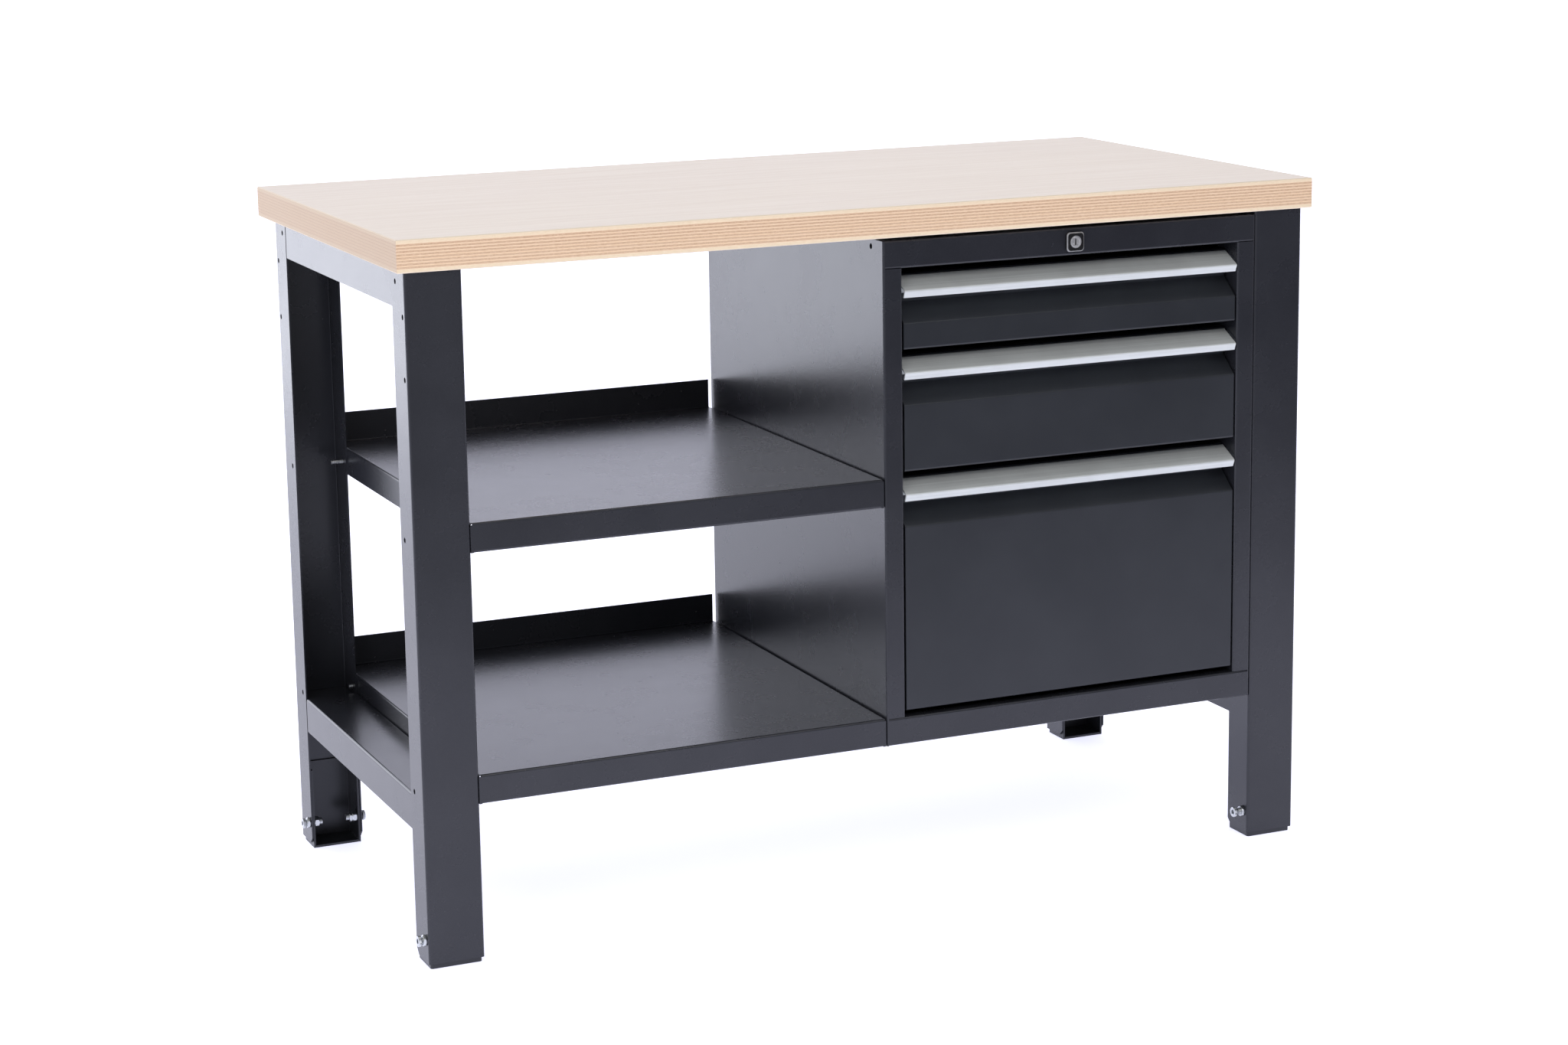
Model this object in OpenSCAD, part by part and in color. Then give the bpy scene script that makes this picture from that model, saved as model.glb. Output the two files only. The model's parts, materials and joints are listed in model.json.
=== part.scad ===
// Workshop bench: plywood worktop on two folded-steel side frames, two shelves on the
// left and a three-drawer cabinet on the right.
// Origin: on the floor under the middle of the worktop. +X right, +Y rear, +Z up.

/* [Worktop] */
// Length of the worktop along X
worktop_w = 1200; // [1000:10:1800]
// Depth of the worktop along Y
worktop_d = 600; // [500:10:750]
// Thickness of the plywood slab
worktop_t = 38; // [28:1:50]
// Height of the working surface above the floor
bench_h = 860; // [760:5:1050]
// Bevel that breaks the slab's sharp edges
worktop_bevel = 1; // [0.5:0.5:3]
// How far the slab stands out past each side frame
side_overhang = 10; // [2:1:40]
// How far the slab stands out in front of the legs
front_overhang = 8; // [0:1:40]
// How far the slab stands out behind the legs
rear_overhang = 42; // [0:1:80]

/* [Legs and side rails] */
// Width of a leg across its web
leg_w = 68; // [60:1:90]
// Depth of a leg's two flanges
leg_flange = 48; // [42:1:70]
// Sheet thickness of legs and side rails
leg_t = 2; // [1.5:0.5:3]
// Outside bend radius of legs and side rails
leg_bend_r = 3; // [2.5:0.5:5]
// Cut across the lower corner of each flange
leg_corner_cut = 8; // [2:1:15]
// Height of a side rail
rail_h = 44; // [30:1:60]
// Drop of the lower side rails below the lowest fixing holes
low_rail_drop = 5; // [4:0.5:20]
// Length of the sleeves that carry a side rail inside its legs
sleeve_l = 76; // [60:1:100]
// Shadow gap between a side rail and the rear leg
rail_end_gap = 3; // [0:0.5:6]
// Diameter of the holes in the flanges
frame_hole_d = 6.5; // [6.4:0.1:8]
// Distance of the spare holes from the face of the web
spare_hole_inset = 10; // [8:1:16]
// Drops of the two spare holes below the leg's top
spare_hole_drop = 52; // [48:1:80]
// Distance between the two spare holes
spare_hole_pitch = 72; // [40:1:100]
// Distance of the fixing holes from the flange's free edge
fixing_hole_inset = 14; // [10:1:20]
// Drop of the top fixing hole below the leg's top
top_fixing_drop = 14; // [12:0.5:20]

/* [Levelling feet] */
// Height of a foot insert
foot_h = 105; // [90:5:150]
// Sheet thickness of a foot insert
foot_t = 2.5; // [2:0.5:4]
// Running gap between a foot insert and its leg
foot_gap = 0.5; // [0.4:0.1:1]
// How much of the foot shows below the leg when it is pushed in
foot_reveal = 6; // [3:1:20]
// How far a foot pulls out
foot_travel = 30; // [10:5:50]
// Height of the clamp screws above the floor
foot_screw_z = 33; // [28:1:45]
// Distance of the front legs' left clamp screws from the web
screw_inset_near = 12; // [12:1:20]
// Distance of the other clamp screws from the flange's free edge
screw_inset_edge = 9; // [8:1:14]
// How far the right legs' left clamp screws stand off their jam nuts
foot_screw_slack = 5; // [0:1:8]
// Diameter of the clamp screws
foot_screw_d = 8; // [6:1:8]
// Length of the clamp screws under the head
foot_screw_l = 20; // [18:1:30]

/* [Shelves] */
// Top of the lower shelf above the floor
shelf_low_z = 227.5; // [215:0.5:300]
// Distance from the lower shelf up to the middle shelf
shelf_pitch = 300; // [200:5:350]
// Height of the front and side lips
shelf_lip_h = 35; // [30:1:50]
// Height of the rear upstand above the shelf
shelf_upstand = 38; // [20:1:60]
// Sheet thickness of shelves and cabinet panels
panel_t = 1.5; // [1:0.25:2]
// Outside bend radius of shelves and cabinet panels
panel_bend_r = 2.5; // [2.5:0.5:4]
// Gap between the shelves and the cabinet
shelf_gap = 1.5; // [0.5:0.5:4]
// Drop of the shelf screws below the shelf's top
shelf_screw_drop = 19.5; // [15:0.5:25]
// Diameter of the fixing holes in shelves and cabinet sides
panel_hole_d = 7; // [6.9:0.1:8]
// Diameter of the self-tapping shelf screws
shelf_screw_d = 6.3; // [4.8:0.1:6.3]
// Length of the middle shelf's screws under the head
shelf_screw_l = 19; // [16:1:24]
// Length of the lower shelf's screws under the head
shelf_screw_low_l = 8; // [7:1:16]

/* [Drawer cabinet] */
// Outside width of the cabinet
cabinet_w = 518; // [420:2:640]
// Underside of the cabinet above the floor
cabinet_z = 192; // [170:1:260]
// Gap between the cabinet and the worktop
cabinet_top_gap = 5; // [3:1:12]
// Width of the two front stiles
stile_w = 25; // [22:1:35]
// Depth of the folded front posts behind the stiles
post_d = 50; // [40:1:70]
// Height of the cabinet's lower front rail
lower_front_rail_h = 34.5; // [25:0.5:60]
// Height of the cabinet's upper front rail, which holds the lock
upper_front_rail_h = 33.5; // [30:0.5:60]
// Room below the lowest drawer front
lower_front_gap = 7; // [3:1:15]
// Depth of the returns on the cabinet's pans and stiles
return_d = 18; // [12:1:25]
// Depth of the rear uprights that carry the runners
upright_d = 25; // [20:1:40]

/* [Drawers] */
// Height taken by the top drawer
top_zone_h = 100; // [90:5:200]
// Height taken by the middle drawer; the lowest one takes what is left
middle_zone_h = 150; // [100:5:250]
// Side gap between a drawer front and its stile
front_side_gap = 2.5; // [1.5:0.5:4]
// How far the drawer fronts stand behind the cabinet's face
front_inset = 1.5; // [0:0.5:5]
// Sheet thickness of the drawers
drawer_t = 1.2; // [0.8:0.1:1.5]
// Drop of the front's upper bend below the zone's top
bend_drop = 68; // [60:1:75]
// Depth of the finger recess
recess_d = 27; // [20:1:32]
// Rise of the slope below the finger recess
slope_rise = 23; // [15:1:28]
// Drop of the front's top edge below the zone's top
front_top_drop = 11; // [8:1:14]
// Drop of the drawer box's rim below the zone's top
box_top_drop = 22; // [18:1:30]
// Room below a drawer box in its zone
box_bottom_gap = 8; // [5:1:15]
// Room between a closed drawer and the cabinet's back
drawer_rear_room = 63.3; // [55:0.1:90]

/* [Handles] */
// Wall thickness of the aluminium handle profile
handle_t = 2; // [1.5:0.25:3]
// Depth of the handle's sloping plate
handle_d = 29; // [22:1:34]
// Fall of the sloping plate from rear to front
handle_fall = 15; // [8:1:20]
// Height of the front lip
handle_lip_h = 8; // [5:1:12]
// How far the lip leans back
handle_lip_lean = 3.5; // [0:0.5:5]
// Height of the rear leg that lies on the drawer front
handle_leg_h = 21; // [15:1:25]

/* [Runners] */
// Distance of the runners behind the drawer box's front
runner_setback = 4; // [2:0.5:20]
// Height of the runner's outer member
runner_h = 35; // [30:1:45]
// Width of a whole runner
runner_w = 12.7; // [12.7:0.1:15]
// Sheet thickness of the runner's members
runner_t = 1.2; // [1:0.1:1.5]
// Gap between one member and the next, where the balls run
runner_gap = 0.8; // [0.5:0.1:1.2]
// Height of the runner's middle above the drawer's bottom
runner_rise = 25; // [23:1:30]

/* [Lock] */
// Width and height of the lock's square plate
lock_plate = 24; // [20:1:28]
// How far the plate stands out of the rail
lock_proud = 5; // [2:0.5:6]
// Diameter of the lock's barrel behind the plate
lock_barrel_d = 18; // [16:0.5:20]
// Length of the barrel behind the rail's face
lock_barrel_l = 22; // [16:1:30]
// Diameter of the turning plug
lock_plug_d = 14; // [10:0.5:14]
// Radial running gap of the plug
lock_plug_gap = 0.05; // [0.03:0.01:0.08]
// Diameter of the rod from the plug to the rear bar
lock_rod_d = 6; // [5:0.5:8]
// Diameter of the crank pin
crank_pin_d = 5; // [4:0.5:6]
// Travel of the locking bar
lock_travel = 10; // [8:1:12]
// Width of the locking bar
lock_bar_w = 28; // [26:1:36]
// Thickness of the locking bar
lock_bar_t = 3; // [2:0.5:4]

/* [Fasteners] */
// Diameter of the cabinet bolts
bolt_d = 6; // [5:0.5:6]
// Width of the cabinet bolts' heads and nuts across the flats
cabinet_nut_w = 9.5; // [8:0.5:10]
// Diameter of the wood screws under the worktop
wood_screw_d = 5; // [4:0.5:6]
// Length of the wood screws in the slab
wood_screw_bite = 25; // [15:1:26]
// Radial gap around screws and bolts in their holes
screw_gap = 0.05; // [0.05:0.05:0.2]
// Diameter of the spacers between cabinet and worktop
spacer_d = 16; // [12:1:24]

/* [Hidden] */
$fn = 48;
BEND_STEPS = 4;        // flats along each bend
CUT = 1;               // how far a cutter runs past what it cuts

STEEL = [0.23, 0.24, 0.26];
STEEL_DARK = [0.16, 0.165, 0.18];
PLYWOOD = [0.86, 0.74, 0.57];
ALUMINIUM = [0.76, 0.77, 0.79];
ZINC = [0.72, 0.74, 0.74];
BLACK = [0.06, 0.06, 0.07];

// frame
frame_x = worktop_w/2 - side_overhang;
front_y = -worktop_d/2 + front_overhang;
rear_y = worktop_d/2 - rear_overhang;
frame_d = rear_y - front_y;
frame_top = bench_h - worktop_t;
leg_x = frame_x - leg_w/2;
leg_len = frame_top - foot_reveal;
leg_side_x = frame_x - leg_w;
rail_w = leg_w - 2*leg_t;
fixing_y = leg_flange - fixing_hole_inset;
fixing_front_y = front_y + fixing_y;
fixing_rear_y = rear_y - fixing_y;
shelf_tops = [shelf_low_z, shelf_low_z + shelf_pitch];
fixing_zs = [for (z = shelf_tops) z - shelf_screw_drop, frame_top - top_fixing_drop];
lower_rail_z = fixing_zs[0] - low_rail_drop;
spare_zs = [frame_top - spare_hole_drop, frame_top - spare_hole_drop - spare_hole_pitch];

// feet
foot_in = leg_t + foot_gap;
foot_w = leg_w - 2*foot_in;
foot_setback = 1;
foot_d = leg_flange - foot_in - foot_setback;
foot_base_t = 1.2*foot_t;
foot_slot_d = foot_screw_d + 2*foot_gap;
foot_head_h = 0.75*foot_screw_d;
foot_nut_w = 1.625*foot_screw_d;
foot_jam_t = foot_screw_d/2;
foot_nut_t = 0.8*foot_screw_d;
foot_nut_gap = 0.3;
foot_wall = foot_in + foot_t;

// cabinet
cab_x1 = leg_side_x;
cab_x0 = cab_x1 - cabinet_w;
cab_cx = (cab_x0 + cab_x1)/2;
cab_top = frame_top - cabinet_top_gap;
cabinet_nut_t = 5;
post_hole_d = 5;
post_hole_y = front_y + post_d/3;
open_x0 = cab_x0 + stile_w;
open_z0 = cabinet_z + lower_front_rail_h;
zone_z0 = open_z0 + lower_front_gap;
open_z1 = cab_top - upper_front_rail_h;
zone_tops = [open_z1 - top_zone_h - middle_zone_h, open_z1 - top_zone_h, open_z1];
zone_bottoms = [zone_z0, zone_tops[0], zone_tops[1]];
back_y = rear_y - 2*panel_t;

// shelves
shelf_x0 = -leg_side_x;
shelf_x1 = cab_x0 - shelf_gap;

// drawers
front_face_y = front_y + front_inset;
front_seam = 0.5;
wall_y = front_face_y + recess_d;
front_x0 = open_x0 + front_side_gap;
front_w = cabinet_w - 2*(stile_w + front_side_gap);
box_y0 = wall_y + drawer_t;
runner_y0 = box_y0 + runner_setback;
box_x0 = open_x0 + runner_w;
box_w = cabinet_w - 2*(stile_w + runner_w);
box_rear = back_y - drawer_rear_room;
box_len = box_rear - box_y0;
runner_l = box_rear - runner_y0;
upright_y = box_rear - 1.5*upright_d;

// lock
lock_z = (open_z1 + cab_top)/2;
crank_r = lock_travel/sqrt(2);
crank_slack = 0.5;
bar_room = 14;
bar_y = back_y - bar_room;
bar_front_y = bar_y - lock_bar_t;
bar_top = cab_top - 2*panel_t - CUT - lock_travel;
lock_bar_tail = 60;
bar_bottom = zone_tops[0] - box_top_drop - lock_bar_tail;
catch_w = 16;
catch_l = 25;
catch_lip_h = 8;
catch_drop = 16;
tongue_y = box_rear + catch_l/2;
tongue_t = 2;
tongue_gap = 3;
tongue_rise = catch_lip_h + 2;

// ---------- folded sheet ----------

// Direction of the line from a to b, in degrees
function heading(a, b) = atan2(b[1] - a[1], b[0] - a[0]);

// Turn from heading h1 to h2, between -180 and 180
function turn(h1, h2) = (h2 - h1 + 540) % 360 - 180;

function unit(h) = [cos(h), sin(h)];
function left(h) = [-sin(h), cos(h)];

// Stations [point, heading] along a path whose corners are bent to radius r
function stations(p, r) = concat(
    [[p[0], heading(p[0], p[1])]],
    [for (i = [1 : len(p) - 2])
        let (h = heading(p[i - 1], p[i]), a = turn(h, heading(p[i], p[i + 1])),
             side = a > 0 ? 1 : -1, back = r*tan(abs(a)/2),
             centre = p[i] - back*unit(h) + side*r*left(h))
        for (k = [0 : BEND_STEPS])
            let (hk = h + a*k/BEND_STEPS)
            [centre - side*r*left(hk), hk]],
    [[p[len(p) - 1], heading(p[len(p) - 2], p[len(p) - 1])]]);

// Flat outline of a sheet of thickness t that follows path p down its middle
module sheet(p, t, r) {
    s = stations(p, r - t/2);
    n = len(s);
    polygon(concat([for (i = [0 : n - 1]) s[i][0] + t/2*left(s[i][1])],
        [for (i = [0 : n - 1]) s[n - 1 - i][0] - t/2*left(s[n - 1 - i][1])]));
}

// Extrude a flat outline drawn in (Y, Z) along X, or (X, Z) along Y
module along_x(x0, l) translate([x0, 0, 0]) rotate([90, 0, 90]) linear_extrude(l) children();
module along_y(y0, l) translate([0, y0 + l, 0]) rotate([90, 0, 0]) linear_extrude(l) children();

// Rods and holes along X and Y, starting at the given point
module rod_x(p, l, d) translate(p) rotate([0, 90, 0]) cylinder(h = l, d = d);
module rod_y(p, l, d) translate(p) rotate([-90, 0, 0]) cylinder(h = l, d = d);

// Path of a channel: web outside at y = 0, open towards +Y
function channel_path(w, f, t) =
    [[-w/2 + t/2, f], [-w/2 + t/2, t/2], [w/2 - t/2, t/2], [w/2 - t/2, f]];

module at_right_side() translate([2*cab_cx, 0, 0]) mirror([1, 0, 0]) children();

// ---------- side frames ----------

// Holes through both flanges of a leg
module flange_holes(rear) {
    side = rear ? -1 : 1;
    y0 = rear ? rear_y : front_y;
    for (z = fixing_zs)
        rod_x([-leg_w/2 - CUT, y0 + side*fixing_y, z], leg_w + 2*CUT, frame_hole_d);
    for (z = spare_zs)
        rod_x([-leg_w/2 - CUT, y0 + side*spare_hole_inset, z], leg_w + 2*CUT, frame_hole_d);
    for (flange = [-1, 1])
        rod_x([flange*leg_w/2 - leg_t - CUT, foot_screw_y(rear, flange), foot_screw_z],
            2*leg_t + 2*CUT, foot_screw_d + 2*screw_gap);
}

module leg(x, rear) {
    side = rear ? -1 : 1;
    y0 = rear ? rear_y : front_y;
    color(STEEL) translate([x, 0, 0]) difference() {
        translate([0, y0, foot_reveal]) mirror([0, rear ? 1 : 0, 0])
            linear_extrude(leg_len) sheet(channel_path(leg_w, leg_flange, leg_t), leg_t, leg_bend_r);
        flange_holes(rear);
        translate([-leg_w/2 - CUT, y0 + side*leg_flange, foot_reveal]) rotate([45, 0, 0])
            translate([0, -leg_corner_cut/sqrt(2), -leg_corner_cut/sqrt(2)])
                cube([leg_w + 2*CUT, sqrt(2)*leg_corner_cut, sqrt(2)*leg_corner_cut]);
    }
}

// Side rail: a channel open downwards, flush with the legs' flanges and carried by a
// narrower sleeve inside each leg
module side_rail(x, top, screw_holes) {
    sleeve_ys = [front_y + leg_bend_r, rear_y - leg_bend_r - sleeve_l];
    rail_y0 = front_y + leg_flange;
    rail_y1 = rear_y - leg_flange - rail_end_gap;
    color(STEEL) translate([x, 0, 0]) difference() {
        union() {
            translate([0, rail_y0, top]) rotate([-90, 0, 0]) linear_extrude(rail_y1 - rail_y0)
                sheet(channel_path(leg_w, rail_h, leg_t), leg_t, leg_bend_r);
            for (y = sleeve_ys)
                translate([0, y, top - leg_t]) rotate([-90, 0, 0]) linear_extrude(sleeve_l)
                    sheet(channel_path(rail_w, rail_h - leg_t, leg_t), leg_t, leg_bend_r);
        }
        for (rear = [false, true]) flange_holes(rear);
        if (screw_holes)
            for (y = worktop_screw_ys)
                translate([0, y, top - leg_t - CUT])
                    cylinder(h = leg_t + 2*CUT, d = wood_screw_d + CUT);
    }
}

// ---------- feet ----------

// Where the clamp screw of a flange is: flange is -1 for the left one and 1 for the right
function foot_screw_y(rear, flange) = rear
    ? rear_y - leg_flange + screw_inset_edge
    : front_y + (flange < 0 ? screw_inset_near : leg_flange - screw_inset_edge);

module foot(x, rear) {
    side = rear ? -1 : 1;
    y0 = (rear ? rear_y : front_y) + side*foot_in;
    color(STEEL_DARK) difference() {
        translate([x, y0, 0]) mirror([0, rear ? 1 : 0, 0]) union() {
            linear_extrude(foot_h)
                sheet(channel_path(foot_w, foot_d, foot_t), foot_t, leg_bend_r);
            translate([-foot_w/2 + leg_bend_r, foot_t/2, 0])
                cube([foot_w - 2*leg_bend_r, foot_d - foot_t/2, foot_base_t]);
        }
        for (flange = [-1, 1]) {
            slot_x = x + flange*foot_w/2 - 2*foot_t;
            slot_y = foot_screw_y(rear, flange);
            for (z = [0, foot_travel])
                rod_x([slot_x, slot_y, foot_screw_z + z], 4*foot_t, foot_slot_d);
            translate([slot_x, slot_y - foot_slot_d/2, foot_screw_z])
                cube([4*foot_t, foot_slot_d, foot_travel]);
        }
    }
}

// Every place where a clamp screw goes, with X pointing out of the flange. The left legs'
// right screws are driven home, with their jam nuts inside.
module at_foot_screws() {
    for (leg_side = [-1, 1], rear = [false, true], flange = [-1, 1]) {
        $jam_x = leg_side < 0 && flange > 0
            ? -foot_wall - foot_nut_gap - foot_nut_t - foot_jam_t : 0;
        $head_x = max($jam_x + foot_jam_t, 0) + (leg_side > 0 && flange < 0 ? foot_screw_slack : 0);
        translate([leg_side*leg_x, foot_screw_y(rear, flange), foot_screw_z])
            mirror([flange < 0 ? 1 : 0, 0, 0]) translate([leg_w/2, 0, 0]) children();
    }
}

// Hexagon nut along X from x = 0, flats towards front and rear
module nut_x(w, t, hole) {
    difference() {
        rotate([0, 90, 0]) cylinder(h = t, d = w/cos(30), $fn = 6);
        rod_x([-CUT, 0, 0], t + 2*CUT, hole + 2*screw_gap);
    }
}

module foot_screws() {
    rim_t = 0.4*foot_head_h;
    socket_d = 0.87*foot_screw_d;
    color(ZINC) at_foot_screws() translate([$head_x, 0, 0]) difference() {
        union() {
            rod_x([-foot_screw_l, 0, 0], foot_screw_l + CUT, foot_screw_d);
            rotate([0, 90, 0]) cylinder(h = foot_head_h - rim_t, d1 = foot_screw_d, d2 = foot_nut_w);
            rod_x([foot_head_h - rim_t, 0, 0], rim_t, foot_nut_w);
        }
        translate([foot_head_h/2, 0, 0]) rotate([0, 90, 0])
            cylinder(h = foot_head_h, d = socket_d, $fn = 6);
    }
}

module foot_jam_nuts() {
    color(ZINC) at_foot_screws() translate([$jam_x, 0, 0])
        nut_x(foot_nut_w, foot_jam_t, foot_screw_d);
}

module foot_inner_nuts() {
    color(ZINC) at_foot_screws()
        translate([-foot_wall - foot_nut_gap - foot_nut_t, 0, 0])
            nut_x(foot_nut_w, foot_nut_t, foot_screw_d);
}

// ---------- worktop ----------

screw_spread = 0.3*frame_d;
worktop_screw_ys = [for (k = [-1, 0, 1]) (front_y + rear_y)/2 + k*screw_spread];
spacer_xs = [cab_x0 + 2*stile_w, cab_x1 - 2*stile_w];
spacer_ys = [front_y + 2*post_d, rear_y - 2*post_d];

// Places of the wood screws: [x, y, underside of what the head pulls up]
wood_screws = concat(
    [for (s = [-1, 1], y = worktop_screw_ys) [s*leg_x, y, frame_top - leg_t]],
    [for (x = spacer_xs, y = spacer_ys) [x, y, cab_top - panel_t]]);

module bevel_cutters(w, d, z) {
    side = sqrt(2)*worktop_bevel;
    for (s = [-1, 1]) {
        translate([-w/2 - CUT, s*d/2, z]) rotate([45, 0, 0]) translate([0, -side/2, -side/2])
            cube([w + 2*CUT, side, side]);
        translate([s*w/2, -d/2 - CUT, z]) rotate([0, 45, 0]) translate([-side/2, 0, -side/2])
            cube([side, d + 2*CUT, side]);
    }
}

module worktop() {
    color(PLYWOOD) difference() {
        translate([-worktop_w/2, -worktop_d/2, frame_top]) cube([worktop_w, worktop_d, worktop_t]);
        bevel_cutters(worktop_w, worktop_d, bench_h);
        bevel_cutters(worktop_w, worktop_d, frame_top);
        for (s = wood_screws)
            translate([s[0], s[1], frame_top - CUT])
                cylinder(h = wood_screw_bite + 2*CUT, d = wood_screw_d + 2*screw_gap);
    }
}

module worktop_screws() {
    head_t = 3;
    color(ZINC) for (s = wood_screws) translate([s[0], s[1], 0]) {
        translate([0, 0, s[2] - head_t]) cylinder(h = head_t, d = 2*wood_screw_d);
        translate([0, 0, s[2] - head_t]) cylinder(h = frame_top + wood_screw_bite - s[2] + head_t,
            d = wood_screw_d);
    }
}

// ---------- shelves ----------

module shelf(top) {
    y0 = front_y;
    y1 = rear_y;
    low = top - shelf_lip_h;
    mid = panel_t/2;
    hem = 12;
    color(STEEL) difference() {
        union() {
            along_x(shelf_x0 + panel_bend_r, shelf_x1 - shelf_x0 - 2*panel_bend_r)
                sheet([[y0 + hem, low + mid], [y0 + mid, low + mid], [y0 + mid, top - mid],
                    [y1 - mid, top - mid], [y1 - mid, top + shelf_upstand]],
                    panel_t, panel_bend_r);
            for (s = [0, 1]) {
                edge = s == 0 ? shelf_x0 : shelf_x1;
                inward = s == 0 ? 1 : -1;
                along_y(y0 + panel_bend_r, y1 - y0 - 2*panel_bend_r)
                    sheet([[edge + inward*mid, low], [edge + inward*mid, top - mid],
                        [edge + inward*3*panel_bend_r, top - mid]], panel_t, panel_bend_r);
                // the lips meet in a welded corner
                for (size = [[panel_bend_r + CUT, panel_t], [panel_t, panel_bend_r + CUT]])
                    translate([s == 0 ? shelf_x0 : shelf_x1 - size[0], y0, low])
                        cube([size[0], size[1], shelf_lip_h - panel_bend_r]);
            }
        }
        for (y = [fixing_front_y, fixing_rear_y])
            rod_x([shelf_x0 - CUT, y, top - shelf_screw_drop], shelf_x1 - shelf_x0 + 2*CUT,
                panel_hole_d);
    }
}

// Self-tapping screw of length l along +X from x = 0, its head behind x = 0
module self_tapper(l) {
    head_t = 3.5;
    head_d = 1.7*shelf_screw_d;
    point_l = 4;
    point_d = 1;
    rod_x([-head_t, 0, 0], head_t, head_d);
    rod_x([-head_t, 0, 0], l + head_t - point_l, shelf_screw_d);
    translate([l - point_l, 0, 0]) rotate([0, 90, 0])
        cylinder(h = point_l, d1 = shelf_screw_d, d2 = point_d);
}

module shelf_screws() {
    color(ZINC) for (k = [0, 1], y = [fixing_front_y, fixing_rear_y]) {
        z = shelf_tops[k] - shelf_screw_drop;
        l = k == 0 ? shelf_screw_low_l : shelf_screw_l;
        translate([shelf_x0 + panel_t, y, z]) mirror([1, 0, 0]) self_tapper(l);
        translate([shelf_x1 - panel_t, y, z]) self_tapper(l);
    }
}

// ---------- cabinet ----------

module side_panel() {
    mid = panel_t/2;
    post_x = cab_x0 + stile_w - mid;
    color(STEEL) difference() {
        translate([0, 0, cabinet_z]) linear_extrude(cab_top - cabinet_z)
            sheet([[post_x, front_y + post_d], [post_x, front_y + mid],
                [cab_x0 + mid, front_y + mid], [cab_x0 + mid, rear_y - mid],
                [cab_x0 + return_d, rear_y - mid]], panel_t, panel_bend_r);
        for (z = [cabinet_z - CUT, open_z1])
            translate([cab_x0 + panel_bend_r, front_y - CUT, z])
                cube([stile_w, post_d + 2*CUT,
                    z < open_z1 ? lower_front_rail_h + CUT : cab_top - open_z1 + CUT]);
        for (y = [fixing_front_y, fixing_rear_y], z = fixing_zs)
            rod_x([cab_x0 - CUT, y, z], panel_t + 2*CUT, panel_hole_d);
        for (z = [for (b = zone_bottoms) b + box_bottom_gap + runner_rise])
            rod_x([open_x0 - stile_w/2, post_hole_y, z], stile_w, post_hole_d);
    }
}

module cabinet_back() {
    color(STEEL) translate([cab_x0 + panel_bend_r, back_y, cabinet_z + panel_t])
        cube([cabinet_w - 2*panel_bend_r, panel_t, cab_top - cabinet_z - 2*panel_t]);
}

// Folded pan that closes the cabinet above or below, with the front rail on it
module pan(outer, inner, side) {
    mid = panel_t/2;
    along_x(cab_x0 + panel_bend_r, cabinet_w - 2*panel_bend_r)
        sheet([[front_y + return_d, inner - side*mid], [front_y + mid, inner - side*mid],
            [front_y + mid, outer + side*mid], [back_y - mid, outer + side*mid],
            [back_y - mid, outer + side*return_d]], panel_t, panel_bend_r);
    translate([cab_x0 + panel_t, front_y + panel_bend_r, outer - (side < 0 ? panel_t : 0)])
        cube([cabinet_w - 2*panel_t, back_y - front_y - 2*panel_bend_r, panel_t]);
}

module cabinet_top() {
    color(STEEL) difference() {
        pan(cab_top, open_z1, -1);
        rod_y([cab_cx, front_y - CUT, lock_z], panel_t + 2*CUT, lock_barrel_d + 2*screw_gap);
        for (x = spacer_xs, y = spacer_ys)
            translate([x, y, cab_top - panel_t - CUT])
                cylinder(h = panel_t + 2*CUT, d = wood_screw_d + CUT);
    }
}

module cabinet_bottom() {
    color(STEEL) pan(cabinet_z, open_z0, 1);
}

module cabinet_spacers() {
    color(BLACK) for (x = spacer_xs, y = spacer_ys) translate([x, y, cab_top]) difference() {
        cylinder(h = cabinet_top_gap, d = spacer_d);
        translate([0, 0, -CUT]) cylinder(h = cabinet_top_gap + 2*CUT, d = wood_screw_d + CUT);
    }
}

// Rear upright: a channel that stands on the side panel and carries the runners' rear ends
module upright() {
    mid = panel_t/2;
    face_x = open_x0 - mid;
    color(STEEL) translate([0, 0, cabinet_z + panel_t])
        linear_extrude(cab_top - cabinet_z - 2*panel_t)
            sheet([[cab_x0 + panel_t, upright_y + mid], [face_x, upright_y + mid],
                [face_x, upright_y + upright_d - mid],
                [cab_x0 + panel_t, upright_y + upright_d - mid]], panel_t, panel_bend_r);
}

module cabinet_bolts() {
    head_t = 4;
    thread_end = 3;
    color(ZINC) for (y = [fixing_front_y, fixing_rear_y], z = fixing_zs) {
        grip = z > frame_top - rail_h ? 2*leg_t : leg_t;
        translate([leg_side_x + grip, y, z]) rotate([0, 90, 0])
            cylinder(h = head_t, d = cabinet_nut_w/cos(30), $fn = 6);
        rod_x([leg_side_x - panel_t - cabinet_nut_t - thread_end, y, z],
            grip + panel_t + cabinet_nut_t + thread_end + CUT, bolt_d);
    }
}

module cabinet_nuts() {
    color(ZINC) for (y = [fixing_front_y, fixing_rear_y], z = fixing_zs)
        translate([leg_side_x - panel_t - cabinet_nut_t, y, z])
            nut_x(cabinet_nut_w, cabinet_nut_t, bolt_d);
}

// ---------- drawers ----------

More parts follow.
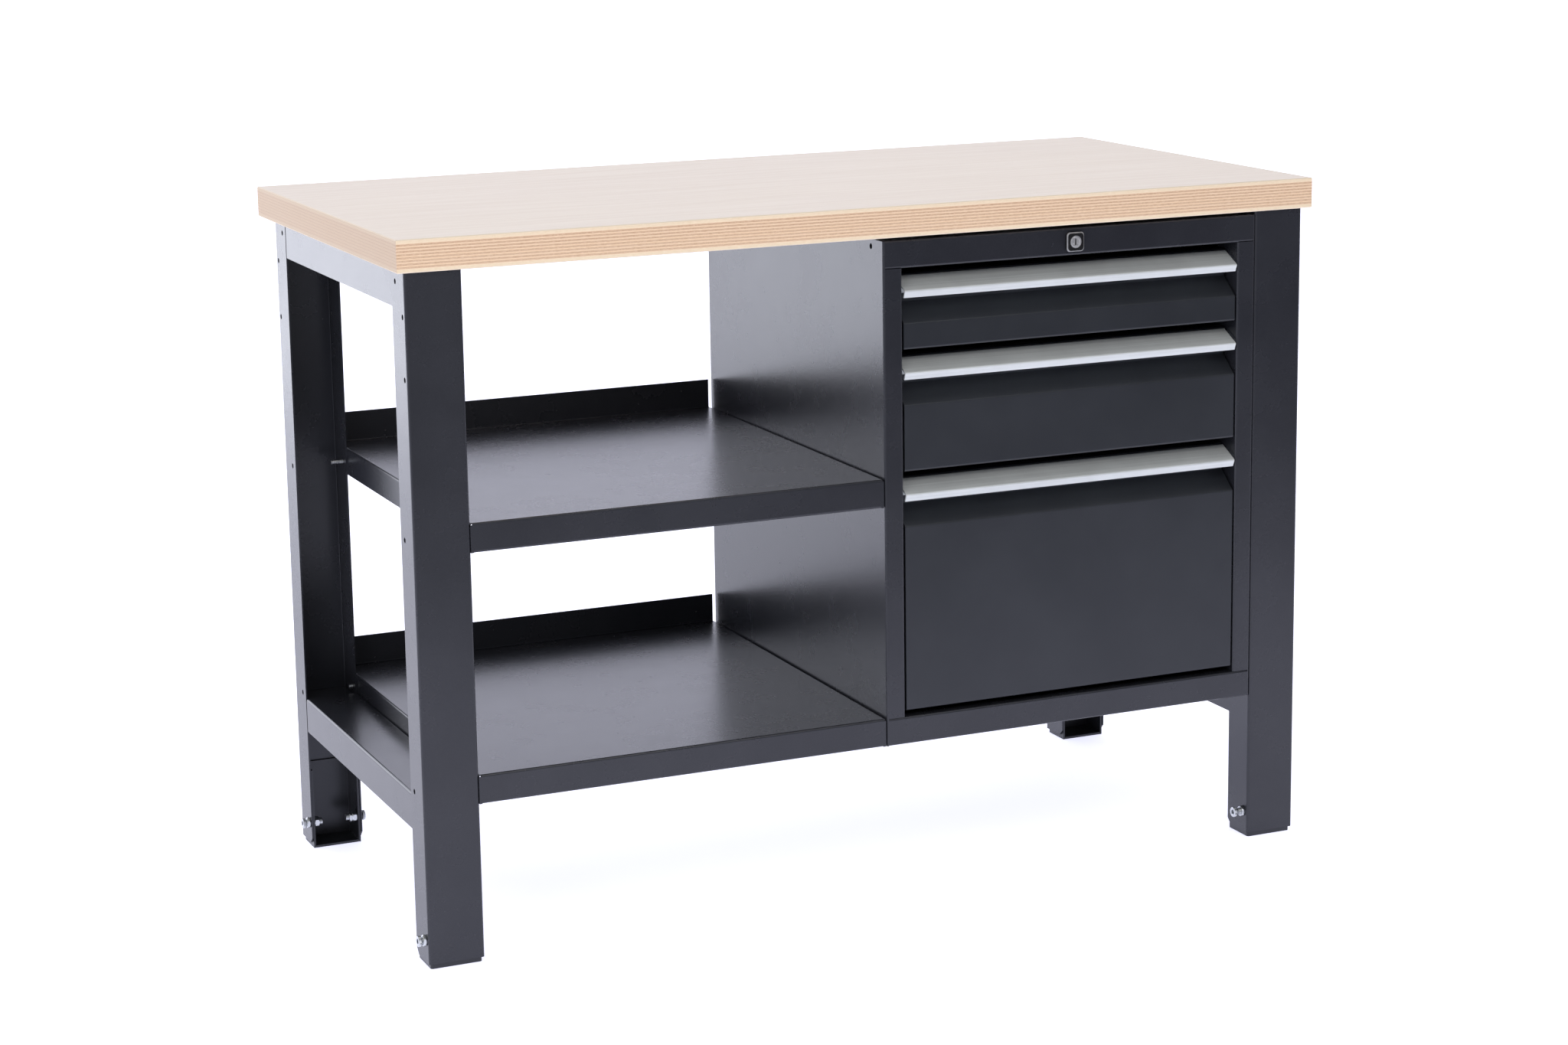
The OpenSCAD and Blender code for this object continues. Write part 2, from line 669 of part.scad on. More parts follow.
module drawer_box(k) {
    z0 = zone_bottoms[k] + box_bottom_gap;
    z1 = zone_tops[k] - box_top_drop;
    mid = drawer_t/2;
    x1 = box_x0 + box_w;
    catch_z = z1 - catch_drop;
    color(STEEL) union() {
        along_y(box_y0, box_len)
            sheet([[box_x0 + mid, z1], [box_x0 + mid, z0 + mid], [x1 - mid, z0 + mid],
                [x1 - mid, z1]], drawer_t, panel_bend_r);
        for (y = [box_y0, box_rear - drawer_t])
            translate([box_x0 + panel_bend_r, y, z0 + drawer_t/2])
                cube([box_w - 2*panel_bend_r, drawer_t, z1 - z0 - drawer_t/2]);
        for (y = [box_y0, box_rear - drawer_t], x = [box_x0 + mid, x1 - 2*panel_bend_r])
            translate([x, y, z0 + panel_bend_r])
                cube([2*panel_bend_r - mid, drawer_t, z1 - z0 - panel_bend_r]);
        along_x(cab_cx - catch_w/2, catch_w)
            sheet([[box_rear - mid, catch_z], [box_rear + catch_l - mid, catch_z],
                [box_rear + catch_l - mid, catch_z - catch_lip_h]], drawer_t, panel_bend_r);
    }
}

module drawer_front(k) {
    z0 = zone_bottoms[k] + front_seam;
    top = zone_tops[k];
    mid = drawer_t/2;
    slope_z = top - bend_drop + slope_rise;
    color(STEEL) union() {
        along_x(front_x0, front_w)
            sheet([[front_face_y + return_d, z0 + mid], [front_face_y + mid, z0 + mid],
                [front_face_y + mid, top - bend_drop], [wall_y + mid, slope_z],
                [wall_y + mid, top - front_top_drop - mid],
                [wall_y + return_d, top - front_top_drop - mid]], drawer_t, panel_bend_r);
        for (x = [front_x0, front_x0 + front_w - drawer_t])
            along_x(x, drawer_t)
                polygon([[front_face_y + panel_bend_r, z0 + mid], [front_face_y + mid, z0 + panel_bend_r],
                    [front_face_y + mid, top - bend_drop], [wall_y + mid, slope_z],
                    [wall_y + mid, z0 + mid]]);
    }
}

module handle(k) {
    top = zone_tops[k];
    rear_y0 = wall_y - handle_t/2;
    rear_z = top - front_top_drop - handle_t;
    color(ALUMINIUM) along_x(front_x0, front_w)
        sheet([[rear_y0, rear_z - handle_leg_h], [rear_y0, rear_z],
            [rear_y0 - handle_d, rear_z - handle_fall],
            [rear_y0 - handle_d + handle_lip_lean, rear_z - handle_fall - handle_lip_h]],
            handle_t, handle_t);
}

// ---------- runners ----------
// One runner stands between x = 0 (cabinet side) and x = runner_w (drawer side).
// Each member is a channel on its side; the middle one opens towards the drawer.

module member(web_x, reach, h) {
    mid = runner_t/2;
    side = reach > 0 ? 1 : -1;
    sheet([[web_x + reach, h/2 - mid], [web_x + side*mid, h/2 - mid],
        [web_x + side*mid, -h/2 + mid], [web_x + reach, -h/2 + mid]], runner_t, 1.5*runner_t);
}

mid_h = runner_h - 2*(runner_t + runner_gap);
inner_h = mid_h - 2*(runner_t + runner_gap);
fixed_reach = 0.78*runner_w;
mid_x = 0.3*runner_w;
mid_reach = 0.5*runner_w;
inner_reach = 0.42*runner_w;

module runner_part(k, web_x, reach, h) {
    z = zone_bottoms[k] + box_bottom_gap + runner_rise;
    color(ZINC) translate([open_x0, 0, z]) along_y(runner_y0, runner_l) member(web_x, reach, h);
}

module runner_fixed(k) runner_part(k, 0, fixed_reach, runner_h);
module runner_mid(k) runner_part(k, mid_x, mid_reach, mid_h);
module runner_inner(k) {
    runner_part(k, runner_w, -inner_reach, inner_h);
    at_right_side() runner_part(k, runner_w, -inner_reach, inner_h);
}

// ---------- lock ----------

// Square plate with round corners, facing the front, and the barrel behind it
module lock_housing() {
    corner = 5;
    flat = lock_plate - 2*corner;
    bore = lock_plug_d + 2*lock_plug_gap;
    color(BLACK) difference() {
        union() {
            translate([cab_cx, 0, lock_z]) along_y(front_y - lock_proud, lock_proud) union() {
                square([lock_plate, flat], center = true);
                square([flat, lock_plate], center = true);
                for (x = [-1, 1], z = [-1, 1]) translate([x*flat/2, z*flat/2]) circle(corner);
            }
            rod_y([cab_cx, front_y - CUT, lock_z], lock_barrel_l + CUT, lock_barrel_d);
        }
        rod_y([cab_cx, front_y - lock_proud - CUT, lock_z],
            lock_proud + lock_barrel_l + 2*CUT, bore);
    }
}

module lock_nut() {
    nut_t = 4;
    nut_d = 1.35*lock_barrel_d;
    color(ZINC) translate([cab_cx, front_y + panel_t, lock_z]) difference() {
        rotate([-90, 0, 0]) cylinder(h = nut_t, d = nut_d, $fn = 6);
        rod_y([0, -CUT, 0], nut_t + 2*CUT, lock_barrel_d + 2*screw_gap);
    }
}

module lock_plug() {
    slot_w = 2;
    slot_h = 8;
    slot_d = 12;
    y0 = front_y - lock_proud;
    color(ZINC) difference() {
        rod_y([cab_cx, y0, lock_z], lock_proud + lock_barrel_l, lock_plug_d);
        translate([cab_cx - slot_w/2, y0 - CUT, lock_z - slot_h/2])
            cube([slot_w, slot_d + CUT, slot_h]);
    }
}

// Rod from the plug to the rear, ending in a disc whose crank pin lifts the locking bar
module lock_rod() {
    y0 = front_y + lock_barrel_l;
    disc_t = 4;
    disc_y = bar_front_y - crank_slack - disc_t;
    color(ZINC) {
        rod_y([cab_cx, y0, lock_z], disc_y - y0 + CUT, lock_rod_d);
        rod_y([cab_cx, disc_y, lock_z], disc_t, 2*(crank_r + crank_pin_d));
        rod_y([cab_cx + crank_r*cos(45), disc_y + CUT, lock_z - crank_r*sin(45)],
            disc_t + 2*crank_slack + lock_bar_t, crank_pin_d);
    }
}

// Flat bar behind the drawers. It rises to lock, and a tongue then stands behind each
// drawer's catch. Unlocked, it rests at the bottom of its travel.
module lock_bar() {
    slot_x0 = crank_r*cos(45) - crank_pin_d/2 - crank_slack;
    slot_x1 = crank_r + crank_pin_d/2 + crank_slack;
    slot_z = lock_z - crank_r*sin(45);
    slot_h = crank_pin_d + 2*crank_slack;
    color(ZINC) difference() {
        union() {
            translate([cab_cx - lock_bar_w/2, bar_front_y, bar_bottom])
                cube([lock_bar_w, lock_bar_t, bar_top - bar_bottom]);
            for (top = zone_tops) {
                lip_bottom = top - box_top_drop - catch_drop - catch_lip_h;
                tip = lip_bottom - tongue_gap;
                along_x(cab_cx - catch_w/2, catch_w)
                    sheet([[bar_front_y + tongue_t/2, tip - tongue_rise],
                        [tongue_y, tip - tongue_rise], [tongue_y, tip]], tongue_t, 2*tongue_t);
            }
        }
        translate([cab_cx + slot_x0, bar_front_y - CUT, slot_z - slot_h/2])
            cube([slot_x1 - slot_x0, lock_bar_t + 2*CUT, slot_h]);
    }
}

// Two folded brackets on the back panel that guide the locking bar
module lock_bar_guides() {
    gap = 0.5;
    guide_h = 30;
    tab_w = 12;
    grip = 5;
    x0 = lock_bar_w/2 + gap + panel_t/2;
    rear = back_y - panel_t/2;
    reach = bar_front_y - gap - panel_t/2;
    guide_zs = [bar_bottom + lock_travel + panel_t, zone_tops[1] + box_bottom_gap];
    color(STEEL) for (z = guide_zs) translate([cab_cx, 0, z]) linear_extrude(guide_h) {
        for (s = [-1, 1])
            sheet([[s*(x0 + tab_w), rear], [s*x0, rear], [s*x0, reach],
                [s*(lock_bar_w/2 - grip), reach]], panel_t, 2*panel_t);
        translate([-x0, rear - panel_t/2]) square([2*x0, panel_t]);
    }
}

// ---------- what is drawn ----------

worktop();
leg(-leg_x, false);  // leg_front_left
leg(-leg_x, true);  // leg_rear_left
leg(leg_x, false);  // leg_front_right
leg(leg_x, true);  // leg_rear_right
side_rail(-leg_x, frame_top, true);  // side_rail_top_left
side_rail(leg_x, frame_top, true);  // side_rail_top_right
side_rail(-leg_x, lower_rail_z, false);  // side_rail_low_left
side_rail(leg_x, lower_rail_z, false);  // side_rail_low_right
foot(-leg_x, false);  // foot_front_left
foot(-leg_x, true);  // foot_rear_left
foot(leg_x, false);  // foot_front_right
foot(leg_x, true);  // foot_rear_right
foot_screws();
foot_jam_nuts();
foot_inner_nuts();
shelf(shelf_tops[0]);  // shelf_low
shelf(shelf_tops[1]);  // shelf_middle
shelf_screws();
worktop_screws();
side_panel();  // cabinet_side_left
at_right_side() side_panel();  // cabinet_side_right
cabinet_back();
cabinet_top();
cabinet_bottom();
upright();  // upright_left
at_right_side() upright();  // upright_right
cabinet_bolts();
cabinet_nuts();
cabinet_spacers();
lock_housing();
lock_nut();
lock_plug();
lock_rod();
lock_bar();
lock_bar_guides();
LEVELS = ["low", "middle", "top"];
for (k = [0 : 2]) {
    drawer_box(k);
    drawer_front(k);
    handle(k);
    runner_fixed(k);
    at_right_side() runner_fixed(k);
    runner_mid(k);
    at_right_side() runner_mid(k);
    runner_inner(k);
}
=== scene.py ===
# %% [markdown]
# # A workshop bench with a drawer cabinet
# This lesson dresses a steel and plywood workbench, whose exact parts come from its CAD
# model. The CAD model fixes every size. Here the pieces get their finishes, the small
# hardware gets its real shape, and a camera and soft lamps show the result.
# Everything is in metres, with +X to the right, +Y to the rear and +Z up.

# %% Load the CAD model
import bpy, bmesh, json, math
from mathutils import Matrix, Vector


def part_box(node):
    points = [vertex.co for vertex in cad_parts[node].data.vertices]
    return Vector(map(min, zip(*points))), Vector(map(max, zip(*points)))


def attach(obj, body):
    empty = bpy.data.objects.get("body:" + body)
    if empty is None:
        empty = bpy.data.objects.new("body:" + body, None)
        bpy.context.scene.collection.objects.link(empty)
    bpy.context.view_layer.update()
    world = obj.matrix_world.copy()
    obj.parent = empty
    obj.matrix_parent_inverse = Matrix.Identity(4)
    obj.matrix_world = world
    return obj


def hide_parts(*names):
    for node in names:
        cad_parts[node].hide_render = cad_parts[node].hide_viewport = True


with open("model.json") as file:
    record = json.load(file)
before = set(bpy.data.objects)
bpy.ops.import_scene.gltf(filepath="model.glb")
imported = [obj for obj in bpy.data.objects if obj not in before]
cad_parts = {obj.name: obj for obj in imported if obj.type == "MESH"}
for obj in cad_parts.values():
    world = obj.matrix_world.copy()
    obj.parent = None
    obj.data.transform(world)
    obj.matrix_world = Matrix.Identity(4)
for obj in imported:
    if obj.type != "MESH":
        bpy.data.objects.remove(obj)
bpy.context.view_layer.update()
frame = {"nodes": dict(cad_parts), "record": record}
MM = 0.001
nodes = frame["nodes"]

# %% [markdown]
# ## Camera
# The bench is seen from its left front, from a little above the worktop, through a long
# lens. A long lens keeps upright legs nearly parallel. The camera tilts down to the bench,
# and a small downward shift of the lens, as on an architect's camera, takes a little lean
# out of the legs. A larger shift would stand them quite upright, but every other view
# keeps the shift too, and the bench would slide out of its frame.

# %% Camera
EYE = Vector((-1.6385, -3.7487, 1.3283))
YAW, PITCH, ROLL = -0.4185, -0.1950, -0.0137
LENS_MM, SENSOR_MM = 74.20, 36
SHIFT = (-0.0135, -0.0500)


def aim(yaw, pitch, roll):
    """Rotation of a camera that looks along +Y when all three angles are 0."""
    ahead = Vector((-math.sin(yaw) * math.cos(pitch), math.cos(yaw) * math.cos(pitch), math.sin(pitch)))
    right = Vector((math.cos(yaw), math.sin(yaw), 0))
    up = right.cross(ahead)
    right, up = (math.cos(roll) * right + math.sin(roll) * up,
                 math.cos(roll) * up - math.sin(roll) * right)
    return Matrix((right, up, -ahead)).transposed()


lens = bpy.data.cameras.new("Camera")
lens.lens, lens.sensor_width = LENS_MM, SENSOR_MM
lens.shift_x, lens.shift_y = SHIFT
lens.clip_start, lens.clip_end = 0.05, 50
camera = bpy.data.objects.new("Camera", lens)
camera.matrix_world = Matrix.Translation(EYE) @ aim(YAW, PITCH, ROLL).to_4x4()
bpy.context.scene.collection.objects.link(camera)
bpy.context.scene.camera = camera
print("camera at", tuple(EYE), "lens", LENS_MM, "mm")

# %% [markdown]
# ## Floor and light
# The bench stands on a pale cove: a floor that curves up into a wall, so that no horizon
# shows behind it. Glossy powder coat looks like whatever it reflects. At the low angle at
# which the shelves are seen, they mirror the wall, and that gives them their pale sheen.
# The fronts mirror the dim room in front of the bench and stay dark. A soft box out of
# sight at the rear left puts the cool sheen on the cabinet's side. A single sun would be
# simpler, but its hard shadows would cut across the shelves.

# %% Cove
def mesh_object(name, verts, faces, smooth=False):
    """A new object at the origin from plain lists of corners and faces."""
    mesh = bpy.data.meshes.new(name)
    mesh.from_pydata([tuple(v) for v in verts], [], faces)
    mesh.polygons.foreach_set("use_smooth", [smooth] * len(faces))
    obj = bpy.data.objects.new(name, mesh)
    bpy.context.scene.collection.objects.link(obj)
    return obj


COVE_HALF, COVE_FRONT, COVE_WALL, COVE_BEND, COVE_TOP = 9.0, -1.7, 5.0, 2.0, 7.0
BEND_FLATS = 16
FLOOR_DROP = 0.5 * MM
bend = [(COVE_WALL - COVE_BEND + COVE_BEND * math.sin(a), COVE_BEND - COVE_BEND * math.cos(a))
    for a in (math.pi / 2 * k / BEND_FLATS for k in range(BEND_FLATS + 1))]
profile = [(COVE_FRONT, 0.0), *bend, (COVE_WALL, COVE_TOP)]
cove = mesh_object("Cove", [(x, y, z - FLOOR_DROP) for y, z in profile for x in (-COVE_HALF, COVE_HALF)],
    [(2 * k, 2 * k + 1, 2 * k + 3, 2 * k + 2) for k in range(len(profile) - 1)], smooth=True)


def corners_of(low, high):
    """The corners of a rectangle, counter-clockwise from its lowest."""
    return (low, (high[0], low[1]), high, (low[0], high[1]))


# the floor goes on in front, but the dark fronts must not mirror its white
FRONT_FLOOR = (-COVE_HALF, -COVE_HALF), (COVE_HALF, COVE_FRONT)
apron = mesh_object("Front_floor", [(x, y, -FLOOR_DROP) for x, y in corners_of(*FRONT_FLOOR)], [(0, 1, 2, 3)])
apron.visible_glossy = False
# a dark flag at the front right keeps the drawer fronts and right leg deep in shade
FLAG_Y, FLAG_LOW, FLAG_HIGH = -4.3, (1.2, -0.4), (5.0, 2.6)
flag = mesh_object("Flag", [(x, FLAG_Y, z) for x, z in corners_of(FLAG_LOW, FLAG_HIGH)], [(0, 1, 2, 3)])
flag.visible_camera = False
print("cove:", len(profile) - 1, "strips")

# %% Lamps and world
def soft_box(name, place, target, size, radiance, tint=(1, 1, 1)):
    """A rectangular lamp at place, turned to face target, as bright as radiance says."""
    lamp = bpy.data.lights.new(name, "AREA")
    lamp.shape, lamp.size, lamp.size_y = "RECTANGLE", *size
    lamp.energy, lamp.color = radiance * math.pi * size[0] * size[1], tint
    obj = bpy.data.objects.new(name, lamp)
    obj.location = place
    obj.rotation_euler = (Vector(target) - Vector(place)).to_track_quat("-Z", "Y").to_euler()
    bpy.context.scene.collection.objects.link(obj)


MIDDLE = (0, 0, 0.45)
COOL, WARM = (0.93, 0.96, 1.0), (1.0, 0.97, 0.93)
soft_box("Lamp_rear_left", (-1.9, 3.0, 0.9), (0, 0, 0.7), (1.7, 2.6), 2.3, COOL)
soft_box("Lamp_left_front", (-3.4, -2.4, 2.4), MIDDLE, (2.4, 2.4), 1.6)
soft_box("Lamp_front_top", (0.3, -3.2, 3.0), (0.2, 0, 0.6), (3.0, 1.2), 2.6, WARM)
soft_box("Lamp_top", (0, 0.2, 3.8), MIDDLE, (3.2, 2.0), 0.8, WARM)

world = bpy.data.worlds.new("Studio")
bpy.context.scene.world = world
world.use_nodes = True
world.node_tree.nodes["Background"].inputs["Color"].default_value = (0.97, 0.98, 1.0, 1)
world.node_tree.nodes["Background"].inputs["Strength"].default_value = 0.42
bpy.context.scene.view_settings.view_transform = "Standard"

# %% [markdown]
# ## A small language for shader maths
# A finish is a network of nodes, and its maths is easier to read as an expression. This
# class wraps a node's output, so `grain * 0.5 + 0.2` adds the nodes that work it out. The
# nodes could be wired by hand, one line each, but then the formula is hard to see.

# %% Shader maths
class Sock:
    """A node's output socket that can be used in arithmetic."""

    def __init__(self, tree, socket):
        self.tree, self.socket = tree, socket

    def node(self, kind, inputs, out=0, **settings):
        """Adds a node of that kind, sets it up, feeds its inputs, and wraps one output."""
        made = self.tree.nodes.new(kind)
        for key, value in settings.items():
            setattr(made, key, value)
        for key, value in inputs.items():
            if isinstance(value, Sock):
                self.tree.links.new(value.socket, made.inputs[key])
            else:
                made.inputs[key].default_value = value
        return Sock(self.tree, made.outputs[out])

    def math(self, operation, a, b=0.0):
        return self.node("ShaderNodeMath", {0: a, 1: b}, operation=operation)

    def __add__(self, other): return self.math("ADD", self, other)
    def __radd__(self, other): return self.math("ADD", other, self)
    def __sub__(self, other): return self.math("SUBTRACT", self, other)
    def __rsub__(self, other): return self.math("SUBTRACT", other, self)
    def __mul__(self, other): return self.math("MULTIPLY", self, other)
    def __rmul__(self, other): return self.math("MULTIPLY", other, self)
    def __truediv__(self, other): return self.math("DIVIDE", self, other)
    def abs(self): return self.math("ABSOLUTE", self)
    def frac(self): return self.math("FRACT", self)
    def floor(self): return self.math("FLOOR", self)
    def over(self, limit): return self.math("GREATER_THAN", self, limit)
    def clamp(self): return self.node("ShaderNodeClamp", {"Value": self})

    def smooth(self, low, high, to_low=0.0, to_high=1.0):
        """Goes smoothly from to_low, where this is low, to to_high, where it is high."""
        return self.node("ShaderNodeMapRange", {"Value": self, "From Min": low, "From Max": high,
            "To Min": to_low, "To Max": to_high}, interpolation_type="SMOOTHSTEP")

    def part(self, axis):
        """One coordinate of a vector: 0 is x, 1 is y, 2 is z."""
        return self.node("ShaderNodeSeparateXYZ", {0: self}, out=axis)

    def vector(self, x, y, z): return self.node("ShaderNodeCombineXYZ", {0: x, 1: y, 2: z})
    def normal(self): return self.node("ShaderNodeNewGeometry", {}, out=1)

    def scaled(self, factors):
        return self.node("ShaderNodeVectorMath", {0: self, 1: factors}, operation="MULTIPLY")

    def noise(self, scale, detail=3.0, roughness=0.5):
        return self.node("ShaderNodeTexNoise", {"Vector": self, "Scale": scale, "Detail": detail,
            "Roughness": roughness})

    def mix(self, a, b):
        """Colour a where this is 0, colour b where it is 1."""
        return self.node("ShaderNodeMix", {0: self, 6: a, 7: b}, out=2, data_type="RGBA")

    def bump(self, strength, distance):
        return self.node("ShaderNodeBump", {"Height": self, "Strength": strength, "Distance": distance})


def rgb(r, g, b): return (r, g, b, 1.0)


def finish(name, **fixed):
    """A new material. Returns it, its Principled shader and the object coordinates."""
    material = bpy.data.materials.new(name)
    material.use_nodes = True
    tree = material.node_tree
    shader = tree.nodes["Principled BSDF"]
    for key, value in fixed.items():
        shader.inputs[key.replace("_", " ")].default_value = value
    place = tree.nodes.new("ShaderNodeTexCoord").outputs["Object"]
    return material, shader, Sock(tree, place)


def feed(shader, **inputs):
    """Links each wrapped socket to the shader's input of that name."""
    for key, sock in inputs.items():
        sock.tree.links.new(sock.socket, shader.inputs[key.replace("_", " ")])

# %% [markdown]
# ## Powder coat
# The steel is sprayed with dry paint powder and baked. The powder melts into a tough skin
# with a fine pebble, like the peel of an orange, which breaks every reflection into a
# soft sparkle. The pebble could be a texture picture, but a noise a millimetre or two
# across gives it at any size, feeding a bump. Handling leaves the gloss uneven, so a much
# wider noise moves the roughness a little.

# %% Powder coat
PEBBLE_HEIGHT = 0.16 * MM


def powder_coat(name, color, rough, pebble):
    material, shader, at = finish(name, Specular_IOR_Level=0.5, Specular_Tint=rgb(0.92, 0.93, 1.0))
    cloud = at.noise(7.0, 3.0, 0.55)
    grains = at.noise(950.0, 2.0, 0.55)
    dimples = at.noise(420.0, 2.0, 0.5)
    smudge = at.noise(26.0, 4.0, 0.6)
    light = tuple(c * 1.18 + 0.004 for c in color)
    feed(shader,
        Base_Color=(cloud * 0.7 + grains * 0.3).smooth(0.35, 0.7).mix(rgb(*color), rgb(*light)),
        Roughness=(smudge * 0.04 + cloud * 0.04 + (rough - 0.04)).clamp(),
        Normal=(grains * 0.4 + dimples * 0.6).bump(pebble, PEBBLE_HEIGHT))
    return material


graphite = powder_coat("Graphite_powder_coat", (0.017, 0.018, 0.023), 0.27, 0.45)
# the fronts' copy: a rougher gloss, and a darker colour that is painted shade
graphite_front_shaded = powder_coat("Graphite_powder_coat_fronts", (0.014, 0.016, 0.020), 0.36, 0.4)
graphite_foot = powder_coat("Graphite_powder_coat_feet", (0.014, 0.015, 0.018), 0.32, 0.4)
print("powder coats:", [m.name for m in (graphite, graphite_front_shaded, graphite_foot)])

# %% [markdown]
# ## Plywood
# The slab is birch plywood, 38 mm thick: thin sheets of veneer glued with their grain
# crosswise. Its edges show every ply as a stripe. The plies with their end grain outwards
# look darker, and the glue lines darker still. The top shows one veneer, with long, faint
# grain along the bench. Height above the floor says which ply a point of the edge is in,
# so one formula paints all four edges, and the surface's own direction picks the top.

# %% Plywood
slab_low, slab_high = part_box("worktop")
slab_t = slab_high.z - slab_low.z
PLIES = 21


def plywood(name):
    material, shader, at = finish(name, Specular_IOR_Level=0.4)
    x, y, z = at.part(0), at.part(1), at.part(2)
    flat = at.normal().part(2).abs().smooth(0.5, 0.9)
    # the plies, counted up from the underside, a little wavy along the edge
    sway = at.scaled((1.0, 1.0, 0.25)).noise(9.0, 2.0, 0.5) * 0.5 - 0.25
    depth = (z - slab_low.z) / slab_t
    ply = depth * PLIES + sway * 0.9
    odd = ((ply * 0.5).frac() - 0.5).over(0.0)
    glue = 1.0 - ((ply.frac() - 0.5).abs() * 2.0).smooth(0.72, 1.0)
    number = at.vector(ply.floor() * 3.7, 0.0, 0.0).noise(1.9, 0.0)
    fibres = at.scaled((1.0, 1.0, 9.0)).noise(160.0, 4.0, 0.65)
    pores = at.scaled((1.0, 1.0, 3.5)).noise(520.0, 2.0, 0.5)
    long_ply = fibres.smooth(0.3, 0.75).mix(rgb(0.80, 0.56, 0.36), rgb(0.92, 0.72, 0.50))
    open_grain = (fibres * 0.6 + pores * 0.4).smooth(0.35, 0.65)
    end_ply = open_grain.mix(rgb(0.50, 0.29, 0.17), rgb(0.76, 0.53, 0.37))
    stripes = (odd * 0.9).mix(long_ply, end_ply)
    stripes = (1.0 - glue).smooth(0.0, 1.0, 0.0, 0.4).mix(stripes, rgb(0.42, 0.24, 0.13))
    stripes = number.smooth(0.3, 0.7, 0.0, 0.35).mix(stripes, rgb(0.86, 0.67, 0.49))
    # thick pale outer veneers
    skin = (depth - 0.5).abs().smooth(0.37, 0.385)
    pale = fibres.smooth(0.25, 0.75).mix(rgb(0.86, 0.70, 0.48), rgb(0.94, 0.80, 0.60))
    edge = (skin * 0.85).mix(stripes, pale)
    # the ends of the slab, which face along X, are made greyer, with darker glue lines
    sideways = at.normal().part(0).abs().smooth(0.5, 0.9)
    greyer_end_colour = at.node("ShaderNodeMix", {0: 0.62, 6: edge, 7: rgb(0.68, 0.56, 0.43)}, out=2, data_type="RGBA")
    greyer_end_colour = (glue * 0.45).mix(greyer_end_colour, rgb(0.36, 0.25, 0.17))
    edge = sideways.mix(edge, greyer_end_colour)
    # the face veneer: long faint grain along X, with soft wide cathedrals and flecks
    bend = at.scaled((0.35, 1.0, 1.0)).noise(2.2, 2.0, 0.5)
    grain = at.vector(x * 1.4, y * 30.0 + bend * 7.0, 0.0).noise(2.4, 5.0, 0.6)
    flecks = at.vector(x * 60.0, y * 420.0, 0.0).noise(1.0, 3.0, 0.7)
    clouds = at.noise(3.0, 4.0, 0.6)
    tone = (grain * 0.65 + clouds * 0.35).smooth(0.3, 0.7)
    face = tone.mix(rgb(0.795, 0.692, 0.572), rgb(0.865, 0.775, 0.660))
    face = flecks.smooth(0.56, 0.75, 0.0, 0.35).mix(face, rgb(0.66, 0.55, 0.45))
    relief = (1.0 - flat) * (odd * 0.35 + fibres * 0.5 + glue * 0.3) + flat * (flecks * 0.3 + grain * 0.2)
    feed(shader,
        Base_Color=flat.mix(edge, face),
        Roughness=(0.40 + (1.0 - flat) * 0.22 + clouds * 0.12 + flecks * 0.06).clamp(),
        Normal=relief.bump(0.35, 0.0004))
    return material


birch = plywood("Birch_plywood")
print("plies:", PLIES, "each", round(slab_t / PLIES / MM, 2), "mm")

# %% [markdown]
# ## Metals
# The handles are drawn aluminium, anodised to a satin silver. Their die leaves faint
# lines along the bar. Bolts and runners are zinc plated, with a broken, cloudy gloss.
# The lock's plug is satin nickel in a gloss black housing. The spacers between the cabinet
# and the worktop are matt rubber.

# %% Metals, lock and rubber
ACROSS_LINES, ALONG_LINES = 420.0, 3.0
LINE_DEPTH = 0.12 * MM


def metal(name, color, rough, lines, cloud_size, line_axis=0, metallic=1.0):
    material, shader, at = finish(name, Metallic=metallic)
    stretch = [ACROSS_LINES] * 3
    stretch[line_axis] = ALONG_LINES
    drawn = at.scaled(tuple(stretch)).noise(1.0, 3.0, 0.6)
    cloud = at.noise(cloud_size, 4.0, 0.6)
    dull = tuple(c * 0.82 for c in color)
    streaks = (drawn * lines + cloud * (1.0 - lines)).smooth(0.3, 0.7)
    feed(shader,
        Base_Color=streaks.mix(rgb(*dull), rgb(*color)),
        Roughness=(rough - 0.08 + drawn * 0.1 * lines + cloud * 0.14).clamp(),
        Normal=drawn.bump(0.12, LINE_DEPTH))
    return material


satin_aluminium = metal("Satin_anodised_aluminium", (0.70, 0.73, 0.73), 0.52, 0.6, 18.0, metallic=0.35)
zinc_plate = metal("Zinc_plate", (0.62, 0.64, 0.66), 0.30, 0.15, 160.0)
runner_steel = metal("Zinc_plated_strip", (0.60, 0.62, 0.64), 0.34, 0.4, 60.0, line_axis=1)
nickel = metal("Satin_nickel", (0.60, 0.60, 0.61), 0.26, 0.1, 240.0, metallic=0.6)


def gloss_black(name):
    material, shader, at = finish(name, Specular_IOR_Level=0.5, Coat_Weight=0.4, Coat_Roughness=0.08)
    wear_and_glint = at.noise(220.0, 4.0, 0.65)
    paint = wear_and_glint.smooth(0.55, 0.8).mix(rgb(0.012, 0.012, 0.013), rgb(0.035, 0.035, 0.038))
    # painted highlight: the bevels, which face half forwards and half sideways, are painted a lighter grey as
    # a glint of light along the rim, made uneven by the paint's mottle
    forwards = at.normal().part(1).abs()
    bevel = forwards.smooth(0.35, 0.5) * (1.0 - forwards.smooth(0.85, 0.95))
    feed(shader,
        # the bevel mask mixes the painted highlight's light grey into the black paint
        Base_Color=(bevel * (wear_and_glint * 0.5 + 0.45)).mix(paint, rgb(0.34, 0.34, 0.35)),
        Roughness=(0.16 + wear_and_glint * 0.16).clamp(),
        Normal=wear_and_glint.bump(0.06, 0.0001))
    return material


